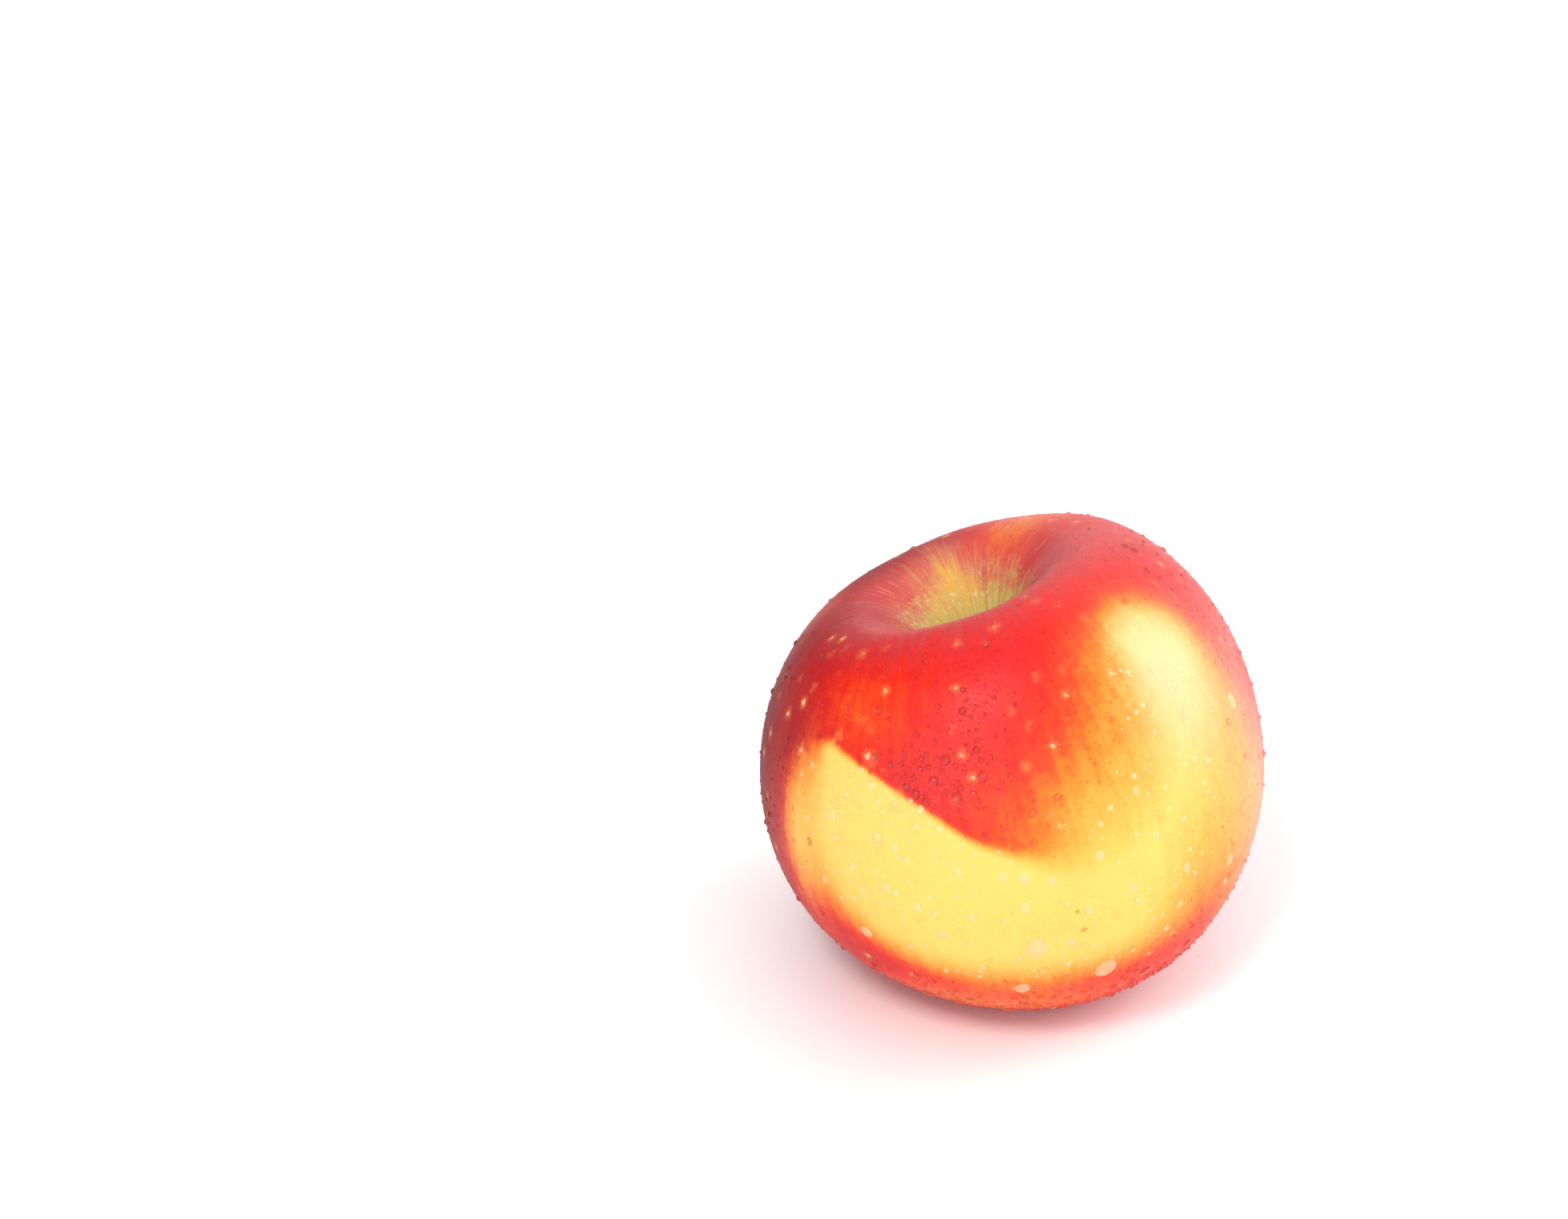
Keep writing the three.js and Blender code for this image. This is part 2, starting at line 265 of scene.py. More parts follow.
def as_grown(points):
    """Takes points given about the straight growth axis to their place in the standing apple."""
    return uneven_and_bent(points) - ORIGIN_SHIFT


def grid_normals(grid):
    """Unit outward normals: the cross product of the steps down the rows and round the columns."""
    down = np.gradient(grid, axis=0)
    round_it = np.roll(grid, -1, 1) - np.roll(grid, 1, 1)
    normal = np.cross(down, round_it)
    return normal / np.maximum(np.linalg.norm(normal, axis=-1, keepdims=True), 1e-12)


def smooth_step(value, low, high):
    """0 below low, 1 above high, and an even S between them."""
    share = np.clip((value - low) / (high - low), 0, 1)
    return share * share * (3 - 2 * share)


# The hand feels slow swells in the skin, and fine creases that run down into the stem cavity. The
# skin is flattened a little where it rests.
BROAD_SWELL = 0.00016
NARROW_SWELL = 0.00010
WIDE_CREASE = 0.00009
FINE_CREASE = 0.00006

skin_grid = skin_grid - ORIGIN_SHIFT
skin_normal = grid_normals(skin_grid)
along_mm = 1000 * outline_along[:, None] + 0 * turn
in_cavity = 1 - smooth_step(along_mm, 9, 25)
swells = BROAD_SWELL * np.sin(3 * turn + 0.05 * along_mm) * np.sin(0.09 * along_mm + 0.6)
swells = swells + NARROW_SWELL * np.sin(7 * turn - 0.04 * along_mm + 1.3) * np.sin(0.13 * along_mm)
creases = WIDE_CREASE * np.sin(23 * turn + 2.5 * np.sin(3 * turn)) + FINE_CREASE * np.sin(41 * turn + 1.0)
creases = creases * in_cavity * smooth_step(along_mm, 3, 8)
skin_grid = skin_grid + skin_normal * (swells * smooth_step(along_mm, 2, 12) + creases)[..., None]
skin_grid[..., 2] = (skin_grid[..., 2] + np.sqrt(skin_grid[..., 2] ** 2 + SPOT_ROUNDING**2)) / 2


def new_piece(name, vertices, faces):
    """A smooth-shaded mesh of these vertices and faces, put in the scene at the origin."""
    mesh = bpy.data.meshes.new(name)
    mesh.from_pydata(vertices.tolist(), [], faces)
    mesh.shade_smooth()
    piece = bpy.data.objects.new(name, mesh)
    bpy.context.scene.collection.objects.link(piece)
    return piece


def closed_surface(name, grid):
    """A mesh of rings, closed round its columns, with one vertex at the middle of each end ring."""
    rings, columns = grid.shape[:2]
    vertices = np.concatenate([grid.reshape(-1, 3), grid[:1].mean(1), grid[-1:].mean(1)])
    corner = np.arange(rings * columns).reshape(rings, columns)
    after = np.roll(corner, -1, 1)
    quads = np.stack([corner[:-1], corner[1:], after[1:], after[:-1]], -1).reshape(-1, 4)
    first = np.stack([corner[0], after[0], np.full(columns, rings * columns)], -1)
    last = np.stack([after[-1], corner[-1], np.full(columns, rings * columns + 1)], -1)
    return new_piece(name, vertices, quads.tolist() + first.tolist() + last.tolist())


def add_field(piece, name, values):
    """Stores a number for each vertex of a closed surface. The two end vertices take their ring's mean."""
    ends = [values[0].mean(), values[-1].mean()]
    stored = piece.data.attributes.new(name, "FLOAT", "POINT")
    stored.data.foreach_set("value", np.concatenate([values.ravel(), ends]).astype(np.float32))


# Where a leaf lay on the skin it stayed yellow: the edge of that patch as (azimuth, along in mm, how
# many mm the colour takes to change there). Its upper left edge is the sharp one.
LEAF_SHADOW = [
    (218.5, 46, 4.5), (222, 41.2, 1.8), (230, 42.5, 1.0), (240, 45.5, 0.9), (252, 50.5, 0.9),
    (262, 56, 1.2), (272, 59.4, 2.0), (281, 60.8, 5), (290, 57.5, 11), (301, 50, 18), (306, 43, 17),
    (311, 38, 13), (317, 35.5, 8), (327, 35, 8), (336, 38, 8), (340, 44, 8), (337, 52, 11),
    (330, 59, 13), (323, 66, 14), (314, 73, 12), (303, 79, 8), (290, 81.5, 6), (270, 82, 6),
    (250, 80, 6), (236, 76, 6), (226, 70, 6), (219.5, 62, 5.5), (217, 53, 5),
]
MM_PER_DEGREE = 0.6


def smooth_loop(corners, steps=10):
    """A closed Catmull-Rom curve through the corners: each span bends by its neighbours' directions."""
    p = np.array(corners, float)
    before, after, beyond = np.roll(p, 1, 0), np.roll(p, -1, 0), np.roll(p, -2, 0)
    t = np.linspace(0, 1, steps, endpoint=False)[None, :, None]
    p, before, after, beyond = (q[:, None] for q in (p, before, after, beyond))
    curve = p + 0.5 * t * (after - before + t * (2 * before - 5 * p + 4 * after - beyond
                                                 + t * (3 * (p - after) + beyond - before)))
    return curve.reshape(-1, curve.shape[-1])


def inside_share(azimuth, along, corners):
    """How far inside the loop each point lies, counted in the softness of the nearest edge: 0 well
    outside it, 0.5 on it and 1 well inside. Inside means an odd number of edges to the right."""
    loop = smooth_loop(corners) * [MM_PER_DEGREE, 1, 1]
    x, y = MM_PER_DEGREE * azimuth, along
    nearest, softness, inside = np.full(x.shape, np.inf), np.ones(x.shape), np.zeros(x.shape, bool)
    for (ax, ay, a_soft), (bx, by, b_soft) in zip(loop, np.roll(loop, -1, 0)):
        length = max((bx - ax) ** 2 + (by - ay) ** 2, 1e-9)
        t = np.clip(((x - ax) * (bx - ax) + (y - ay) * (by - ay)) / length, 0, 1)
        gap = np.hypot(x - ax - t * (bx - ax), y - ay - t * (by - ay))
        softness = np.where(gap < nearest, a_soft + t * (b_soft - a_soft), softness)
        nearest = np.minimum(nearest, gap)
        crosses = (ay > y) != (by > y)
        reach = ax + (y - ay) * (bx - ax) / np.where(crosses, by - ay, 1)
        inside ^= crosses & (x < reach)
    return smooth_step(np.where(inside, nearest, -nearest) / softness, -1, 1)


def bump_at(azimuth, along, middle_azimuth, middle_along, width, height):
    """1 at a place on the skin, falling off like a bell over that width in degrees and height in mm."""
    off = (azimuth - middle_azimuth + 180) % 360 - 180
    return np.exp(-((off / width) ** 2) - ((along - middle_along) / height) ** 2)


# The leaf's shadow is worked out only on the part of the skin that it can reach.
azimuth_deg = np.degrees(turn)[None, :] + 0 * along_mm
near_leaf = (azimuth_deg > 195) & (along_mm > 25) & (along_mm < 96)
leaf_shadow = np.zeros(along_mm.shape)
leaf_shadow[near_leaf] = inside_share(azimuth_deg[near_leaf], along_mm[near_leaf], LEAF_SHADOW)


def strongest(places):
    """At every point of the skin, the highest of several bumps: each place is (strength, azimuth, along
    in mm, width in degrees, height in mm)."""
    return np.max([strength * bump_at(azimuth_deg, along_mm, *place) for strength, *place in places], 0)


# Warmer, less red skin beside the leaf's shadow, under the crown's back edge and round the calyx.
WARM_PLACES = [
    (0.46, 283, 57, 19, 11), (0.26, 234, 36, 18, 7), (0.80, 214, 57, 8, 15), (0.42, 60, 24, 26, 8),
    (0.55, 335, 70, 26, 20), (0.36, 262, 91, 60, 9),
]
warmth = np.maximum(strongest(WARM_PLACES), 0.80 * smooth_step(along_mm, 100, 118))

# Deep crimson: partly the skin's own darker blush round the back, partly painted shade on the left side,
# where the skin would lie in shade.
CRIMSON_AND_SHADE_PLACES = [
    (0.95, 180, 50, 30, 36), (0.62, 206, 43, 15, 13), (0.72, 128, 27, 42, 6), (0.55, 118, 60, 50, 30),
    (0.30, 35, 55, 30, 22), (0.24, 15, 31, 45, 10),
]
crimson_and_shade = strongest(CRIMSON_AND_SHADE_PLACES)

# A veil of fog too fine to see as drops, thickest on the right and round the crown's back, and there
# partly painted sheen: whitened where the soft box on the right and the white behind glance off the skin.
FOG_AND_SHEEN_PLACES = [
    (0.20, 348, 66, 16, 24), (0.06, 15, 31, 50, 11), (0.035, 255, 47, 24, 9),
]
fog_and_sheen = strongest(FOG_AND_SHEEN_PLACES)

# Painted highlight: the skin is lightened to cream at the top of the yellow patch's right lobe, where the
# soft box on the right is reflected.
painted_glow = bump_at(azimuth_deg, along_mm, 324, 46, 15, 11)

# How far yellow runs up the cavity's wall, in mm along: highest at the back.
ray_reach = 9 + 7 * bump_at(azimuth_deg, 0 * along_mm, 104, 0, 48, 1)
ray_reach = ray_reach + 4 * bump_at(azimuth_deg, 0 * along_mm, 103, 0, 9, 1)
ray_reach = ray_reach + 0.8 * np.sin(9 * turn + 0.4)

fruit = closed_surface("fruit_skin", skin_grid)
add_field(fruit, "leaf_shadow", leaf_shadow)
add_field(fruit, "warmth", warmth)
add_field(fruit, "painted_glow", painted_glow)
add_field(fruit, "fog_and_sheen", fog_and_sheen)
add_field(fruit, "crimson_and_shade", crimson_and_shade)
add_field(fruit, "along_mm", along_mm)
add_field(fruit, "ray_reach", ray_reach)
add_field(fruit, "turn_x", np.cos(turn)[None, :] + 0 * along_mm)
add_field(fruit, "turn_y", np.sin(turn)[None, :] + 0 * along_mm)


def field(tree, name):
    """The number stored on the skin's vertices under that name."""
    return node(tree, "ShaderNodeAttribute", attribute_name=name).outputs["Fac"]


def calc(tree, operation, a, b=0.0, clamp=False):
    """One sum in the shader; clamp keeps its result between 0 and 1."""
    made = node(tree, "ShaderNodeMath", {0: a, 1: b}, operation=operation, use_clamp=clamp)
    return made.outputs["Value"]


def fade(tree, value, low, high, to_low=0.0, to_high=1.0):
    """A smooth change from to_low to to_high as the value goes from low to high."""
    made = node(tree, "ShaderNodeMapRange", {
        "Value": value, "From Min": low, "From Max": high, "To Min": to_low, "To Max": to_high,
    }, interpolation_type="SMOOTHSTEP")
    return made.outputs["Result"]


def ramp(tree, value, stops):
    """Colours blended along a value; each stop is (value, red, green, blue)."""
    made = node(tree, "ShaderNodeValToRGB", {"Fac": value})
    elements = made.color_ramp.elements
    while len(elements) < len(stops):
        elements.new(1.0)
    for element, (position, *colour) in zip(elements, stops):
        element.position = position
        element.color = (*colour, 1)
    return made.outputs["Color"]


def blend(tree, share, below, above):
    """The colour `above` laid over `below` by a share; either may be a socket or (red, green, blue)."""
    colours = [c if isinstance(c, bpy.types.NodeSocket) else (*c, 1) for c in (below, above)]
    mixed = node(tree, "ShaderNodeMixRGB", {"Fac": share, "Color1": colours[0], "Color2": colours[1]})
    return mixed.outputs["Color"]


def noise(tree, vector, scale, detail=3.0, roughness=0.55):
    """Cloudy noise about 0.5, finer as the scale rises."""
    return node(tree, "ShaderNodeTexNoise", {
        "Vector": vector, "Scale": scale, "Detail": detail, "Roughness": roughness,
    }).outputs["Fac"]


def add_bump(tree, shader, height, strength, distance):
    """Lets a height roughen the shading, by a strength and at most a distance in metres."""
    bump = node(tree, "ShaderNodeBump", {"Height": height, "Strength": strength, "Distance": distance})
    tree.links.new(bump.outputs["Normal"], shader.inputs["Normal"])


def about_zero(tree, texture, strength):
    """A texture that lies about 0.5, moved to lie about 0 and made that much stronger."""
    return calc(tree, "MULTIPLY", calc(tree, "SUBTRACT", texture, 0.5), strength)


def grown_vector(tree, round_scale, along_scale):
    """Texture coordinates that follow the growth: round the axis times round_scale, and down the
    outline times along_scale."""
    return node(tree, "ShaderNodeCombineXYZ", {
        "X": calc(tree, "MULTIPLY", field(tree, "turn_x"), round_scale),
        "Y": calc(tree, "MULTIPLY", field(tree, "turn_y"), round_scale),
        "Z": calc(tree, "MULTIPLY", field(tree, "along_mm"), along_scale),
    }).outputs["Vector"]


SHADE_CRIMSON = (0.20, 0.002, 0.006)
GLOW_CREAM = (0.88, 0.575, 0.345)
BLOOM_SHEEN_MAUVE = (0.42, 0.13, 0.14)
HAIR_CREAM = (0.82, 0.52, 0.30)
WALL_TAN = (0.58, 0.25, 0.11)
WALL_GOLD = (0.72, 0.40, 0.05)
FLOOR_OLIVE = (0.50, 0.41, 0.12)
SPECK_CREAM = (0.78, 0.66, 0.36)
SOCKET_BROWN = (0.22, 0.17, 0.05)
BASIN_GREEN = (0.62, 0.50, 0.10)
PIT_BROWN = (0.25, 0.17, 0.06)
HALO_ORANGE = (0.95, 0.36, 0.10)
PORE_CREAM = (0.98, 0.66, 0.34)
FOG_SHEEN_WHITE = (0.95, 0.80, 0.76)
RUB_BROWN = (0.50, 0.30, 0.04)

# How red the skin is, from the yellow under the leaf at 0 to full blush at 1.
BLUSH = [
    (0.00, 0.88, 0.58, 0.13),
    (0.16, 0.88, 0.49, 0.085),
    (0.36, 0.88, 0.35, 0.045),
    (0.55, 0.87, 0.20, 0.016),
    (0.74, 0.83, 0.055, 0.008),
    (0.90, 0.76, 0.016, 0.006),
    (1.00, 0.66, 0.007, 0.007),
]

skin, tree, shader, place = new_material("waxed_skin", {
    "IOR": 1.42, "Specular IOR Level": 0.2, "Coat Weight": 0.08, "Coat Roughness": 0.45,
    "Subsurface Weight": 0.06, "Subsurface Scale": 0.003, "Subsurface Radius": (1.0, 0.35, 0.15),
})
mottle = noise(tree, place, 420, 5, 0.65)
cloud = noise(tree, place, 60, 3)
streaks = noise(tree, grown_vector(tree, 26, 0.05), 1.0, 4, 0.6)
fine_streaks = noise(tree, grown_vector(tree, 90, 0.10), 1.0, 3, 0.6)
grain = noise(tree, place, 1500, 3, 0.7)

# Mottling, streaks, clouds and grain break up the edges of the blush.
unshaded = calc(tree, "SUBTRACT", 1.0, field(tree, "leaf_shadow"))
blush = calc(tree, "MULTIPLY", unshaded, calc(tree, "SUBTRACT", 1.0, field(tree, "warmth")))
mottled = about_zero(tree, mottle, 0.26)
grained = about_zero(tree, grain, 0.22)
streaked = about_zero(tree, streaks, 0.22)
clouded = about_zero(tree, cloud, 0.22)
unevenness = calc(tree, "ADD", calc(tree, "ADD", mottled, streaked), calc(tree, "ADD", clouded, grained))
broken = calc(tree, "MULTIPLY", unevenness, fade(tree, blush, 0.02, 0.5, 0.25, 1.0))
blush = calc(tree, "ADD", blush, broken, clamp=True)
colour = ramp(tree, blush, BLUSH)
# Painted highlight: cream laid over the yellow skin at the top of the right lobe.
painted_glow_mix = calc(tree, "MULTIPLY", field(tree, "painted_glow"), fade(tree, blush, 0.6, 0.1, 0.0, 0.7))
colour = blend(tree, painted_glow_mix, colour, GLOW_CREAM)
# Painted shade: the crimson field darkens the skin towards deep crimson, most on the left; the grain and
# mottling add to it.
crimson_and_shade_mix = calc(tree, "MULTIPLY", field(tree, "crimson_and_shade"), fade(tree, blush, 0.45, 0.9))
crimson_and_shade_mix = calc(tree, "ADD", crimson_and_shade_mix, calc(tree, "MULTIPLY", unevenness, 0.7), clamp=True)
colour = blend(tree, crimson_and_shade_mix, colour, SHADE_CRIMSON)

# The stem cavity: a mauve tint on its shoulder, partly the wax's bloom and partly painted sheen of the
# white behind, tan and golden walls with cream hair lines, olive floor.
along = field(tree, "along_mm")
wall_lines = noise(tree, grown_vector(tree, 46, 0.12), 1.0, 3, 0.7)
# Painted sheen with the bloom: mauve laid over the shoulder round the cavity.
bloom_and_sheen = calc(tree, "MULTIPLY", fade(tree, along, 33, 20), fade(tree, streaks, 0.30, 0.70, 0.35, 1.0))
bloom_and_sheen = calc(tree, "MULTIPLY", bloom_and_sheen, calc(tree, "SUBTRACT", 1.0, field(tree, "warmth")))
colour = blend(tree, calc(tree, "MULTIPLY", bloom_and_sheen, 0.58), colour, BLOOM_SHEEN_MAUVE)
hair = calc(tree, "MULTIPLY", fade(tree, wall_lines, 0.54, 0.64), fade(tree, along, 26, 15))
hair = calc(tree, "MULTIPLY", hair, fade(tree, noise(tree, place, 260, 2), 0.44, 0.60))
colour = blend(tree, calc(tree, "MULTIPLY", hair, 0.6), colour, HAIR_CREAM)
beyond_ray = calc(tree, "SUBTRACT", along, field(tree, "ray_reach"))
beyond_ray = calc(tree, "ADD", beyond_ray, about_zero(tree, wall_lines, 17.0))
blotches = noise(tree, place, 520, 3, 0.6)
beyond_ray = calc(tree, "ADD", beyond_ray, about_zero(tree, blotches, 6.0))
colour = blend(tree, fade(tree, beyond_ray, 9.0, -3.0, 0.0, 0.85), colour, WALL_TAN)
colour = blend(tree, fade(tree, beyond_ray, 2.5, -4.0, 0.0, 0.8), colour, WALL_GOLD)
olive = calc(tree, "ADD", along, about_zero(tree, blotches, 14.0))
colour = blend(tree, fade(tree, olive, 17.0, 9.0, 0.0, 0.8), colour, FLOOR_OLIVE)
specks = calc(tree, "MULTIPLY", fade(tree, grain, 0.56, 0.68), fade(tree, along, 20.0, 12.0, 0.0, 0.6))
colour = blend(tree, specks, colour, SPECK_CREAM)
colour = blend(tree, fade(tree, along, 6.0, 2.0, 0.0, 0.8), colour, SOCKET_BROWN)

# The calyx basin: green-yellow, with the last red streaks running in.
basin = calc(tree, "ADD", along, about_zero(tree, streaks, 18.0))
colour = blend(tree, fade(tree, basin, 108, 118, 0.0, 0.85), colour, BASIN_GREEN)
colour = blend(tree, fade(tree, along, 119, 124, 0.0, 0.8), colour, PIT_BROWN)

# Lenticels: cream pores, each in a ragged pale halo.
pores = node(tree, "ShaderNodeTexVoronoi", {
    "Vector": place, "Scale": 230.0, "Exponent": 1.3,
}, distance="MINKOWSKI")
pore_size = calc(tree, "MULTIPLY", fade(tree, cloud, 0.35, 0.65), 0.10)
ragged = calc(tree, "ADD", pores.outputs["Distance"], about_zero(tree, grain, 0.35))
pore_gap = calc(tree, "SUBTRACT", ragged, pore_size)
on_flank = fade(tree, along, 20, 30)
halo = calc(tree, "MULTIPLY", fade(tree, pore_gap, 0.33, 0.0, 0.0, 0.28), on_flank)
colour = blend(tree, halo, colour, HALO_ORANGE)
pore = calc(tree, "MULTIPLY", fade(tree, pore_gap, 0.08, -0.02, 0.0, 0.6), on_flank)
colour = blend(tree, pore, colour, PORE_CREAM)

# The veil of fog, partly painted sheen from the light on the right and behind.
fog_and_sheen_veil = calc(tree, "MULTIPLY", field(tree, "fog_and_sheen"), fade(tree, grain, 0.3, 0.65, 0.4, 1.3))
colour = blend(tree, fog_and_sheen_veil, colour, FOG_SHEEN_WHITE)

# Two small rub marks low on the yellow patch.
RUB_MARKS = [((0.0089, -0.0356, 0.0265), 0.0007), ((0.0078, -0.0362, 0.0301), 0.0004)]
for rub_place, rub_radius in RUB_MARKS:
    off = node(tree, "ShaderNodeVectorMath", {0: place, 1: rub_place}, operation="DISTANCE")
    ragged_off = calc(tree, "ADD", off.outputs["Value"], calc(tree, "MULTIPLY", mottled, 0.004))
    mark = fade(tree, ragged_off, 1.3 * rub_radius, 0.3 * rub_radius, 0.0, 0.75)
    colour = blend(tree, mark, colour, RUB_BROWN)
tree.links.new(colour, shader.inputs["Base Color"])

# Fine mist and the skin's own grain make the wax dull in places.
mist_cells = node(tree, "ShaderNodeTexVoronoi", {"Vector": place, "Scale": 2300.0})
mist_height = fade(tree, mist_cells.outputs["Distance"], 0.45, 0.0)
height = calc(tree, "MULTIPLY", mist_height, 0.6)
for texture, share in ((mottle, 0.3), (fine_streaks, 0.15), (pore, 0.5)):
    height = calc(tree, "ADD", height, calc(tree, "MULTIPLY", texture, share))
add_bump(tree, shader, height, 0.6, 0.00011)
dull = calc(tree, "ADD", fade(tree, cloud, 0.3, 0.7, 0.32, 0.42), calc(tree, "MULTIPLY", crimson_and_shade_mix, 0.25))
tree.links.new(dull, shader.inputs["Roughness"])
fruit.data.materials.append(skin)
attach(fruit, "root")
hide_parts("fruit")


# ---- water ----------------------------------------------------------------------------------------
# Clear drops that stand on the waxed skin: fine mist all over, beads where it ran together, and a few
# large flat drops that hang low. Each is a cap of a ball, sunk a little into the skin.

rng = np.random.default_rng(7)
skin_normal = grid_normals(skin_grid)


def on_skin(azimuth, along):
    """Place and outward normal of the skin at azimuths and distances along the outline, both taken
    from the four nearest points of the skin's own grid in proportion."""
    column = (np.asarray(azimuth, float) % 360) / 360 * COLUMNS
    row = np.interp(along, 1000 * outline_along, np.arange(RINGS))
    i, j = np.minimum(row.astype(int), RINGS - 2), column.astype(int) % COLUMNS
    v, u = (row - i)[:, None], (column - np.floor(column))[:, None]
    k = (j + 1) % COLUMNS
    found = []
    for grid in (skin_grid, skin_normal):
        upper = grid[i, j] * (1 - u) + grid[i, k] * u
        lower = grid[i + 1, j] * (1 - u) + grid[i + 1, k] * u
        found.append(upper * (1 - v) + lower * v)
    return found[0], found[1] / np.linalg.norm(found[1], axis=1, keepdims=True)


def scattered(spacing, first_along, last_along, jitter=0.32):
    """Azimuths and distances along, one in each cell of rings and columns about a spacing (mm) apart."""
    rows = np.arange(first_along, last_along, spacing)
    girth = 2 * np.pi * 1000 * np.interp(rows, 1000 * outline_along, outline_radius)
    cells = np.maximum(np.round(girth / spacing).astype(int), 1)
    row = np.repeat(np.arange(len(rows)), cells)
    number = np.arange(len(row)) - np.repeat(np.cumsum(cells) - cells, cells)
    shift = rng.uniform(-jitter, jitter, (2, len(row)))
    azimuth = 360 * (number + 0.5 * (row % 2) + shift[0]) / cells[row]
    return azimuth % 360, rows[row] + spacing * shift[1]


LAST_RING = 1.3
SUNK_SHARE = 0.05
FOOT_SHARE = 0.1


def unit_drop(sides, levels, contact_angle):
    """A ball's cap, 1 in radius where it meets the skin: its rings go evenly down the ball from the
    top to the contact circle, and one goes on below it inside the skin."""
    turned = radians(contact_angle) * np.append(np.arange(1, levels + 1) / levels, LAST_RING)
    ball = 1 / np.sin(radians(contact_angle))
    side = np.linspace(0, 2 * np.pi, sides, endpoint=False)
    return np.stack([
        ball * np.sin(turned)[:, None] * np.cos(side),
        ball * np.sin(turned)[:, None] * np.sin(side),
        ball * (np.cos(turned) - np.cos(radians(contact_angle)))[:, None] + 0 * side,
    ], -1)


def drops(name, material, azimuth, along, size, sides, levels, contact_angle, stretch=0.0, sag=0.0):
    """One mesh of many caps. Each stands on the skin along its normal, is stretched downhill by a
    share of its size, and its top sags downhill by a share of its height."""
    place, normal = on_skin(azimuth, along)
    downhill = normal * normal[:, 2:] - [0, 0, 1]
    steep = np.linalg.norm(downhill, axis=1, keepdims=True)
    downhill = downhill / np.maximum(steep, 1e-6)
    side = np.cross(normal, downhill)
    unit = unit_drop(sides, levels, contact_angle)
    shape = unit.reshape(1, -1, 3) * np.asarray(size)[:, None, None]
    pull = (steep * sag)[:, :, None]
    lengthwise = shape[..., :1] * (1 + stretch * steep[:, None]) + shape[..., 2:] * pull
    points = (place[:, None] + side[:, None] * shape[..., 1:2] + downhill[:, None] * lengthwise
              + normal[:, None] * (shape[..., 2:] - SUNK_SHARE * np.asarray(size)[:, None, None]))
    ball = 1 / np.sin(radians(contact_angle))
    cap = (ball * (1 - np.cos(radians(contact_angle))) - SUNK_SHARE) * np.asarray(size)[:, None]
    top = place + normal * cap + downhill * cap * steep * sag
    foot = place + normal * (unit[-1, 0, 2] - FOOT_SHARE) * np.asarray(size)[:, None]
    rings = unit.shape[0]
    each = rings * sides + 2
    vertices = np.concatenate([points, top[:, None], foot[:, None]], 1)
    corner = np.arange(rings * sides).reshape(rings, sides)
    after = np.roll(corner, -1, 1)
    quads = np.stack([corner[:-1], corner[1:], after[1:], after[:-1]], -1).reshape(-1, 4)
    cap_fan = np.stack([after[0], np.full(sides, rings * sides), corner[0]], -1)
    foot_fan = np.stack([after[-1], corner[-1], np.full(sides, rings * sides + 1)], -1)
    shift = each * np.arange(len(place))[:, None, None]
    quads = (quads[None] + shift).reshape(-1, 4)
    fans = (np.concatenate([cap_fan, foot_fan])[None] + shift).reshape(-1, 3)
    piece = new_piece(name, vertices.reshape(-1, 3), quads.tolist() + fans.tolist())
    piece.visible_shadow = material is clear_water
    piece.data.materials.append(material)
    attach(piece, "root")


# Drops look clear and deep on red skin. On the pale yellow they gather the light and pass it all on, so
# they cast no shadow there; the light they gather is a painted glow, a pale yellow diffuse share in their
# water.
clear_water, tree, shader, place = new_material("clear_water", {
    "Roughness": 0.02, "IOR": 1.33, "Transmission Weight": 1.0,
})
tinge = blend(tree, noise(tree, place, 300, 2), (1, 0.96, 0.96), (1, 0.90, 0.90))
tree.links.new(tinge, shader.inputs["Base Color"])
water_with_painted_glow, tree, shader, place = new_material("water_with_painted_glow", {
    "Roughness": 0.06, "IOR": 1.33, "Transmission Weight": 0.66,
})
tinge = blend(tree, noise(tree, place, 300, 2), (1, 0.93, 0.60), (1, 0.90, 0.50))
tree.links.new(tinge, shader.inputs["Base Color"])

LARGE_SIZE = 0.0008


def wet(name, azimuth, along, size, *shape, **pull):
    """Drops as two pieces: the clear ones on red skin and the ones with a painted glow on the yellow
    patch, which the large ones count as on when they only touch its orange edge."""
    azimuth, along, size = (np.asarray(values, float) for values in (azimuth, along, size))
    on_yellow = inside_share(azimuth, along, LEAF_SHADOW) > np.where(size > LARGE_SIZE, 0.05, 0.5)
    for ground, chosen, material in (("red", ~on_yellow, clear_water), ("yellow", on_yellow, water_with_painted_glow)):
        if chosen.any():
            drops(f"{name}_on_{ground}", material, azimuth[chosen], along[chosen], size[chosen],
                  *shape, **pull)


